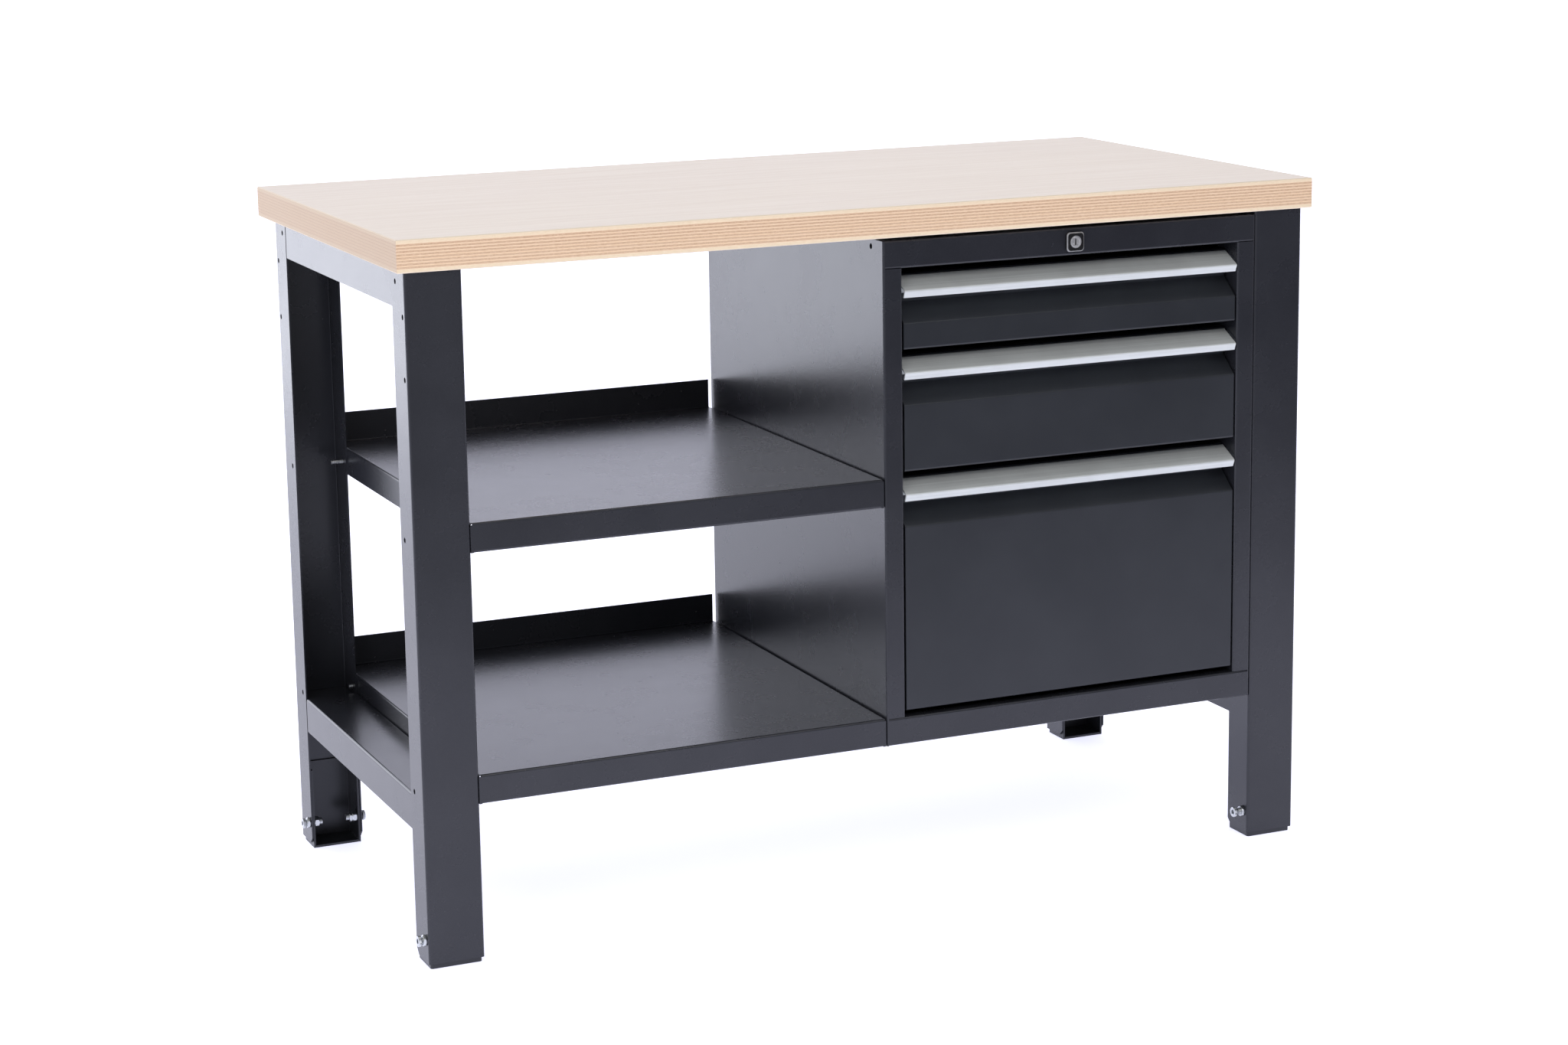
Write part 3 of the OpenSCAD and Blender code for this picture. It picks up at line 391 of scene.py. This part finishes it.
def matt_rubber(name):
    material, shader, at = finish(name, Specular_IOR_Level=0.3)
    grit = at.noise(900.0, 3.0, 0.6)
    feed(shader,
        Base_Color=grit.smooth(0.4, 0.7).mix(rgb(0.018, 0.018, 0.018), rgb(0.04, 0.04, 0.04)),
        Roughness=(0.7 + grit * 0.2).clamp(), Normal=grit.bump(0.3, 0.0003))
    return material


black_gloss = gloss_black("Gloss_black")
rubber = matt_rubber("Matt_rubber")

# %% [markdown]
# ## Finishes on the CAD pieces
# Each CAD node already has its record's material slot. The fronts get a copy of the coat that is rougher than
# the panels' and painted darker, as painted shade, and the runners a rolled strip's lines.

# %% Put the finishes on
SLOT_FINISH = {"plywood": birch, "coated": graphite, "coated_dark": graphite_foot,
    "aluminium": satin_aluminium, "zinc": zinc_plate, "lock_black": black_gloss,
    "lock_metal": nickel, "rubber": rubber}


def coat(obj, material):
    obj.data.materials.clear()
    obj.data.materials.append(material)


for part in frame["record"]["subparts"]:
    name = part["node"]
    material = SLOT_FINISH[part["material_slot"]]
    if name.startswith("runner_"):
        material = runner_steel
    # the drawer fronts take the darker copy of the coat, whose darker colour is painted shade
    if name.startswith("drawer_front_"):
        material = graphite_front_shaded
    coat(nodes[name], material)


def cove_finish():
    """Matt white paper that glows a little, so that the cove stays white in the shade."""
    material, shader, at = finish("Pale_cove", Specular_IOR_Level=0.1, Emission_Color=rgb(0.80, 0.81, 1.0),
        Emission_Strength=0.92)
    tone = at.noise(1.5, 2.0, 0.5)
    feed(shader, Base_Color=tone.mix(rgb(0.84, 0.845, 0.85), rgb(0.87, 0.87, 0.87)),
        Roughness=(0.8 + tone * 0.1).clamp())
    return material


def flag_finish():
    material, shader, at = finish("Black_felt", Specular_IOR_Level=0.05)
    nap = at.noise(60.0, 3.0, 0.6)
    feed(shader, Base_Color=nap.mix(rgb(0.01, 0.01, 0.01), rgb(0.02, 0.02, 0.02)),
        Roughness=(0.9 + nap * 0.1).clamp())
    return material


pale_cove = cove_finish()
coat(cove, pale_cove)
coat(apron, pale_cove)
coat(flag, flag_finish())
print("finishes:", len(bpy.data.materials))

# %% [markdown]
# ## Screws, bolts and nuts
# The bench is held by zinc plated hardware: socket cap screws and nuts on the feet, hex
# bolts and nuts between cabinet and legs, and pan-head screws under the shelves and the
# worktop. The CAD model gives each one's place, axis and size. Its heads and shanks are
# plain there, so each kind is made again here with its chamfers, recess and thread, and
# stands for the CAD node. The first step reads the separate solids out of a node.

# %% Find the fasteners in the CAD model
def solids(node):
    """The corners of each separate solid in a CAD node."""
    mesh = nodes[node].data
    keys = [tuple(round(c, 6) for c in v.co) for v in mesh.vertices]
    parent = {k: k for k in keys}

    def root(k):
        while parent[k] != k:
            parent[k] = parent[parent[k]]
            k = parent[k]
        return k

    for face in mesh.polygons:
        first, *rest = [root(keys[i]) for i in face.vertices]
        for other in rest:
            parent[root(other)] = first
    groups = {}
    for k in parent:
        groups.setdefault(root(k), []).append(Vector(k))
    return list(groups.values())


def turned_piece(corners, axis):
    """Where a screw or nut is: its head's seat, the way its head faces, and its sizes."""
    a, b = [i for i in range(3) if i != axis]
    low = Vector([min(c[i] for c in corners) for i in range(3)])
    high = Vector([max(c[i] for c in corners) for i in range(3)])
    middle = (low + high) / 2

    def away(corner):
        return math.hypot(corner[a] - middle[a], corner[b] - middle[b])

    widest = max(map(away, corners))
    head = [c[axis] for c in corners if away(c) > 0.8 * widest]
    slack = 0.1 * MM
    slim = [away(c) for c in corners if not min(head) - slack <= c[axis] <= max(head) + slack]
    sign = 1 if (min(head) + max(head)) / 2 >= middle[axis] else -1
    out = Vector([sign if i == axis else 0 for i in range(3)])
    seat = middle.copy()
    seat[axis] = min(head) if sign > 0 else max(head)
    return {"seat": seat, "out": out, "head_r": widest, "head_h": max(head) - min(head),
        "length": (high - low)[axis] - (max(head) - min(head)), "shank_r": max(slim, default=0)}


X_AXIS, Y_AXIS, Z_AXIS = 0, 1, 2
print("clamp screws:", len(solids("foot_screws")), "shelf screws:", len(solids("shelf_screws")))

# %% [markdown]
# ## Turned shapes
# A head, nut or lock plate is a stack of closed outlines along an axis: round, hexagonal,
# square or cross-shaped, each with its own size and height. Joining each outline to the
# next gives the surface, and a chamfer is just an outline that a circle cuts short. A
# Boolean cut could sink the recesses, but this way the faces stay clean and even.

# %% Outlines and stacks
STEPS = 48


def round_outline(angle): return 1.0


def hexagon(angle):
    """Across-flats radius 1: how far the hexagon's edge is at this angle."""
    return 1.0 / math.cos((angle + math.pi / 6) % (math.pi / 3) - math.pi / 6)


TINY = 1e-9


def cross(angle, arm=0.36):
    """A plus sign whose arms reach radius 1."""
    c, s = abs(math.cos(angle)) + TINY, abs(math.sin(angle)) + TINY
    return max(min(1 / c, arm / s), min(1 / s, arm / c))


def rounded_square(angle, corner=0.36):
    """Half width 1, with round corners."""
    turn = angle % (math.pi / 2)
    turn = min(turn, math.pi / 2 - turn)
    if math.tan(turn) <= 1 - corner:
        return 1 / math.cos(turn)
    centre = (1 - corner) * math.sqrt(2)
    lean = turn - math.pi / 4
    return centre * math.cos(lean) + math.sqrt(max(corner ** 2 - (centre * math.sin(lean)) ** 2, 0))


def slot_outline(angle, thin=0.26):
    """A thin upright slot whose half height is 1."""
    c, s = abs(math.cos(angle)) + TINY, abs(math.sin(angle)) + TINY
    return min(thin / c, 1 / s)


def stack(name, levels, closed=False, steps=STEPS):
    """A mesh from levels of (outline, radius, height), where a radius of 0 is a tip.

    A fourth number, where a level has one, is the circle that cuts its outline short."""
    verts, rings = [], []
    for outline, radius, height, *limit in levels:
        start = len(verts)
        if radius == 0:
            verts.append((0, 0, height))
            rings.append([start] * steps)
            continue
        for i in range(steps):
            angle = 2 * math.pi * i / steps
            r = min([radius * outline(angle), *limit])
            verts.append((r * math.cos(angle), r * math.sin(angle), height))
        rings.append(list(range(start, start + steps)))
    pairs = list(zip(rings, rings[1:])) + ([(rings[-1], rings[0])] if closed else [])
    faces = []
    for below, above in pairs:
        for i in range(steps):
            j = (i + 1) % steps
            faces.append([k for n, k in enumerate((below[i], below[j], above[j], above[i]))
                if k not in (below[i], below[j], above[j], above[i])[:n]])
    mesh = bpy.data.meshes.new(name)
    mesh.from_pydata(verts, [], faces)
    work = bmesh.new()
    work.from_mesh(mesh)
    bmesh.ops.recalc_face_normals(work, faces=work.faces)
    work.to_mesh(mesh)
    work.free()
    obj = bpy.data.objects.new(name, mesh)
    bpy.context.scene.collection.objects.link(obj)
    return obj


CHAMFER = 0.11  # of a hexagon's width across its flats


def nut(name, flats, thick, hole):
    """A hexagon nut with its corners turned off at both faces and its hole countersunk."""
    half, c = flats / 2, CHAMFER * flats
    return stack(name, [(hexagon, half, 0, 0.97 * half), (hexagon, half, 0.55 * c, 1.07 * half),
        (hexagon, half, c), (hexagon, half, thick - c),
        (hexagon, half, thick - 0.55 * c, 1.07 * half), (hexagon, half, thick, 0.97 * half),
        (round_outline, 1.12 * hole, thick), (round_outline, hole, thick - 0.12 * hole),
        (round_outline, hole, 0.12 * hole), (round_outline, 1.12 * hole, 0)], closed=True)


def knurled(angle):
    """A circle with every second point pressed in a little."""
    return 1.0 - 0.03 * (round(angle * STEPS / math.pi) % 2)


def cap_head(name, radius, height):
    """A head that flares out of its shank to a knurled rim, with a hexagon socket."""
    flare = 1.5 * height
    return stack(name, [(round_outline, 0, -flare), (round_outline, 0.62 * radius, -flare),
        (round_outline, 0.66 * radius, -0.75 * flare), (round_outline, 0.80 * radius, -0.3 * flare),
        (round_outline, 0.95 * radius, 0), (knurled, radius, 0.10 * height),
        (knurled, radius, 0.80 * height), (round_outline, 0.96 * radius, 0.94 * height),
        (round_outline, 0.88 * radius, height), (round_outline, 0.60 * radius, height),
        (hexagon, 0.45 * radius, 0.90 * height), (hexagon, 0.45 * radius, -0.4 * height),
        (hexagon, 0, -0.5 * height)], steps=2 * STEPS)


def hex_head(name, corner_radius, height):
    """A hexagon head, chamfered and dished on top."""
    flats = corner_radius * math.sqrt(3)
    half, c = flats / 2, CHAMFER * flats
    return stack(name, [(hexagon, 0, 0), (hexagon, half, 0, 0.97 * half), (hexagon, half, 0.4 * c),
        (hexagon, half, height - c), (hexagon, half, height - 0.5 * c, 1.06 * half),
        (hexagon, half, height, 0.95 * half), (round_outline, 0.55 * half, height),
        (round_outline, 0.5 * half, height - 0.25 * c), (round_outline, 0, height - 0.25 * c)])


def pan_head(name, radius, height):
    """A domed head with a cross recess."""
    dome = [(round_outline, radius * math.cos(math.radians(t)) ** 0.7,
        height * (0.25 + 0.75 * math.sin(math.radians(t)))) for t in (0, 20, 38, 54)]
    return stack(name, [(round_outline, 0, 0), (round_outline, 0.97 * radius, 0), *dome,
        (cross, 0.56 * radius, 0.97 * height), (cross, 0.5 * radius, 0.5 * height),
        (cross, 0, 0.35 * height)])

# %% [markdown]
# ## One Geometry Nodes tree for every threaded piece
# Each kind of hardware is the same few steps: a head or nut, a shank with a thread wound
# round it, and a copy of both at every place. Geometry Nodes do this well, because the
# places come in as bare points and the sizes as named inputs. The thread is a spiral curve
# swept with a small triangle. Copying finished meshes by hand would also work, but then a
# change of size would mean making them all again.

# %% The hardware tree
def group_input(tree, name, kind, value=None):
    socket = tree.interface.new_socket(name, in_out="INPUT", socket_type=kind)
    if value is not None:
        socket.default_value = value


def add(tree, kind, links=(), **settings):
    """Adds a node, sets its properties, and links or fills its inputs."""
    made = tree.nodes.new(kind)
    for key, value in settings.items():
        setattr(made, key, value)
    for key, value in dict(links).items():
        if isinstance(value, bpy.types.NodeSocket):
            tree.links.new(value, made.inputs[key])
        else:
            made.inputs[key].default_value = value
    return made


def new_tree(name):
    """A tree that takes a cloud of places, the object to copy and a finish."""
    tree = bpy.data.node_groups.new(name, "GeometryNodeTree")
    group_input(tree, "Places", "NodeSocketGeometry")
    group_input(tree, "Head", "NodeSocketObject")
    group_input(tree, "Finish", "NodeSocketMaterial")
    tree.interface.new_socket("Geometry", in_out="OUTPUT", socket_type="NodeSocketGeometry")
    return tree


def copy_to_places(tree, shape, given):
    """One real copy of the shape at each place, turned as the place says, with the finish on."""
    turn = add(tree, "GeometryNodeInputNamedAttribute", {"Name": "turn"}, data_type="FLOAT_VECTOR")
    copies = add(tree, "GeometryNodeInstanceOnPoints", {"Points": given["Places"], "Instance": shape,
        "Rotation": turn.outputs[0]})
    real = add(tree, "GeometryNodeRealizeInstances", {"Geometry": copies.outputs[0]})
    coated = add(tree, "GeometryNodeSetMaterial", {"Geometry": real.outputs[0], "Material": given["Finish"]})
    out = tree.nodes.new("NodeGroupOutput")
    tree.links.new(coated.outputs[0], out.inputs["Geometry"])


def copies_tree():
    """The given object, copied to every place."""
    tree = new_tree("Copies")
    given = tree.nodes.new("NodeGroupInput").outputs
    head = add(tree, "GeometryNodeObjectInfo", {"Object": given["Head"]})
    copy_to_places(tree, head.outputs["Geometry"], given)
    return tree


SHANK_SIDES = 24
THREAD_LIFT = 0.4 * MM  # how far above the shank's end the thread starts


def hardware_tree():
    """A head on a shank with a thread wound round it, copied to every place."""
    tree = new_tree("Threaded_hardware")
    for name in ("Shank radius", "Shank length", "Thread pitch", "Thread depth", "Thread length"):
        group_input(tree, name, "NodeSocketFloat", MM)
    given = tree.nodes.new("NodeGroupInput").outputs

    def calc(operation, a, b):
        return add(tree, "ShaderNodeMath", {0: a, 1: b}, operation=operation).outputs[0]

    def lowered(shape, height):
        place = add(tree, "ShaderNodeCombineXYZ", {"Z": height}).outputs[0]
        return add(tree, "GeometryNodeTransform", {"Geometry": shape, "Translation": place}).outputs[0]

    # the core of the shank, hanging down from the seat
    core_r = calc("SUBTRACT", given["Shank radius"], calc("MULTIPLY", given["Thread depth"], 0.5))
    core = add(tree, "GeometryNodeMeshCylinder", {"Vertices": SHANK_SIDES, "Radius": core_r,
        "Depth": given["Shank length"]})
    core_low = lowered(core.outputs["Mesh"], calc("MULTIPLY", given["Shank length"], -0.5))
    # the thread, wound upwards from the shank's end
    turns = calc("DIVIDE", given["Thread length"], given["Thread pitch"])
    spiral = add(tree, "GeometryNodeCurveSpiral", {"Resolution": SHANK_SIDES, "Rotations": turns,
        "Start Radius": core_r, "End Radius": core_r, "Height": given["Thread length"]})
    spiral_low = lowered(spiral.outputs["Curve"], calc("SUBTRACT", THREAD_LIFT, given["Shank length"]))
    ridge = add(tree, "GeometryNodeCurvePrimitiveCircle", {"Resolution": 3, "Radius": given["Thread depth"]},
        mode="RADIUS")
    thread = add(tree, "GeometryNodeCurveToMesh", {"Curve": spiral_low,
        "Profile Curve": ridge.outputs["Curve"], "Fill Caps": True})
    # the head comes in as an object
    head = add(tree, "GeometryNodeObjectInfo", {"Object": given["Head"]})
    whole = add(tree, "GeometryNodeJoinGeometry")
    for part in (core_low, thread.outputs[0], head.outputs["Geometry"]):
        tree.links.new(part, whole.inputs[0])
    copy_to_places(tree, whole.outputs[0], given)
    return tree


hardware, copies = hardware_tree(), copies_tree()


def grow(name, places, tree, body, node, stands_for=True, **inputs):
    """Runs a tree on a cloud of points and keeps its result as a plain mesh on that body."""
    cloud = bpy.data.meshes.new(name + "_points")
    cloud.from_pydata([tuple(p) for p, _ in places], [], [])
    turn = cloud.attributes.new("turn", "FLOAT_VECTOR", "POINT")
    for item, (_, euler) in zip(turn.data, places):
        item.vector = tuple(euler)
    carrier = bpy.data.objects.new(name + "_carrier", cloud)
    bpy.context.scene.collection.objects.link(carrier)
    modifier = carrier.modifiers.new("Grow", "NODES")
    ids = {item.name: item.identifier for item in tree.interface.items_tree
        if item.item_type == "SOCKET" and item.in_out == "INPUT"}
    modifier.node_group = tree
    for key, value in inputs.items():
        modifier[ids[key.replace("_", " ")]] = value
    graph = bpy.context.evaluated_depsgraph_get()
    mesh = bpy.data.meshes.new_from_object(carrier.evaluated_get(graph))
    carrier.modifiers.remove(modifier)
    bpy.data.objects.remove(carrier)
    obj = bpy.data.objects.new(name, mesh)
    bpy.context.scene.collection.objects.link(obj)
    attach(obj, body)
    next(p["material_slot"] for p in frame["record"]["subparts"] if p["node"] == node)
    if stands_for:
        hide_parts(node)
    print(name, len(places), "places,", len(mesh.polygons), "faces")


def facing(out, spin):
    """Euler angles that point a piece's top along out, turned about its own axis by spin."""
    return (out.to_track_quat("Z", "Y").to_matrix() @ Matrix.Rotation(spin, 3, "Z")).to_euler()


GOLDEN_TURN = 2.399963  # radians; no two pieces in a row end up turned alike


def places_of(pieces, spin=GOLDEN_TURN):
    """Each piece's seat, and a turn that differs from piece to piece."""
    return [(p["seat"], facing(p["out"], spin * i)) for i, p in enumerate(pieces)]

# %% Screws and bolts
def screws(node, axis, head_maker, pitch, depth, threaded=0.85):
    """Replaces a CAD node of screws by detailed ones of the same size."""
    kinds = {}
    for p in (turned_piece(s, axis) for s in solids(node)):
        kinds.setdefault(round(p["length"], 4), []).append(p)
    for k, (length, group) in enumerate(kinds.items()):
        first = group[0]
        head = head_maker(f"{node}_head_{k}", first["head_r"], first["head_h"])
        name = f"{node}_detailed_{k}" if len(kinds) > 1 else f"{node}_detailed"
        grow(name, places_of(group), hardware, "frame", node, stands_for=k == 0, Head=head,
            Shank_radius=first["shank_r"] - depth * 0.3, Shank_length=length, Thread_pitch=pitch,
            Thread_depth=depth, Thread_length=length * threaded, Finish=zinc_plate)
        bpy.data.objects.remove(head)


screws("foot_screws", X_AXIS, cap_head, 1.25 * MM, 0.5 * MM)
screws("cabinet_bolts", X_AXIS, hex_head, 1.0 * MM, 0.4 * MM)
screws("shelf_screws", X_AXIS, pan_head, 1.8 * MM, 0.6 * MM, 0.8)
screws("worktop_screws", Z_AXIS, pan_head, 2.2 * MM, 0.5 * MM, 0.7)

# %% Nuts
def nuts(node, axis, hole):
    """Replaces a CAD node of nuts by detailed ones of the same size."""
    found = [turned_piece(s, axis) for s in solids(node)]
    thick, flats = found[0]["head_h"], found[0]["head_r"] * math.sqrt(3)
    shape = nut(f"{node}_shape", flats, thick, hole)
    grow(f"{node}_detailed", places_of(found, spin=0), copies, "frame", node, Head=shape, Finish=zinc_plate)
    bpy.data.objects.remove(shape)


nuts("foot_jam_nuts", X_AXIS, 4.0 * MM)
nuts("foot_inner_nuts", X_AXIS, 4.0 * MM)
nuts("cabinet_nuts", X_AXIS, 3.0 * MM)
nuts("lock_nut", Y_AXIS, 9.05 * MM)

# %% [markdown]
# ## The lock
# A drawer lock is a die-cast square plate on a threaded barrel, and a plug that turns in it.
# The plate's bevel and the plug's rounded rim catch the light, so both get them here, and
# the keyway goes in as a slot. The plates could be cut from the CAD solids with Booleans,
# but a stack of outlines gives clean bevels at once.

# %% Lock plate and plug
RAIL_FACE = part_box("cabinet_top")[0].y  # the plate lies against the front rail
BARREL_R = 9 * MM
PLUG_SLACK = 0.05 * MM


def lock_plate(half, plug_r, proud, deep):
    """The square plate with its bevelled rim, and the round barrel behind it."""
    rim, bore_r = 1.3 * MM, plug_r + PLUG_SLACK
    return stack("lock_plate_shape", [(round_outline, bore_r, -deep),
        (round_outline, bore_r, proud - rim / 3), (round_outline, plug_r + rim / 2, proud),
        (rounded_square, half - rim, proud), (rounded_square, half, proud - rim), (rounded_square, half, 0),
        (round_outline, BARREL_R, 0), (round_outline, BARREL_R, -deep)], closed=True, steps=2 * STEPS)


def lock_core(radius, proud, deep):
    """The plug: a cylinder with a rounded rim, a dished face and a keyway."""
    slot_half, slot_deep, dish = 4 * MM, 8 * MM, 0.4 * MM
    return stack("lock_plug_shape", [(round_outline, 0, -deep), (round_outline, radius, -deep),
        (round_outline, radius, proud - 0.8 * MM), (round_outline, radius - 0.35 * MM, proud - 0.2 * MM),
        (round_outline, radius - 0.9 * MM, proud), (round_outline, radius - 1.6 * MM, proud),
        (round_outline, radius - 1.9 * MM, proud - dish), (slot_outline, slot_half, proud - dish),
        (slot_outline, slot_half, proud - slot_deep), (slot_outline, 0, proud - slot_deep)], steps=2 * STEPS)


low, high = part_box("lock_housing")
plug_low, plug_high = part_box("lock_plug")
plug_r = (plug_high.x - plug_low.x) / 2
proud, deep = RAIL_FACE - low.y, high.y - RAIL_FACE
centre = Vector(((low.x + high.x) / 2, RAIL_FACE, (low.z + high.z) / 2))
plate = lock_plate((high.x - low.x) / 2, plug_r, proud, deep)
core = lock_core(plug_r, proud, deep)
for shape, body, node, material in ((plate, "frame", "lock_housing", black_gloss),
        (core, "lock_plug", "lock_plug", nickel)):
    grow(node + "_detailed", [(centre, (math.pi / 2, 0, 0))], copies, body, node, Head=shape, Finish=material)
    bpy.data.objects.remove(shape)
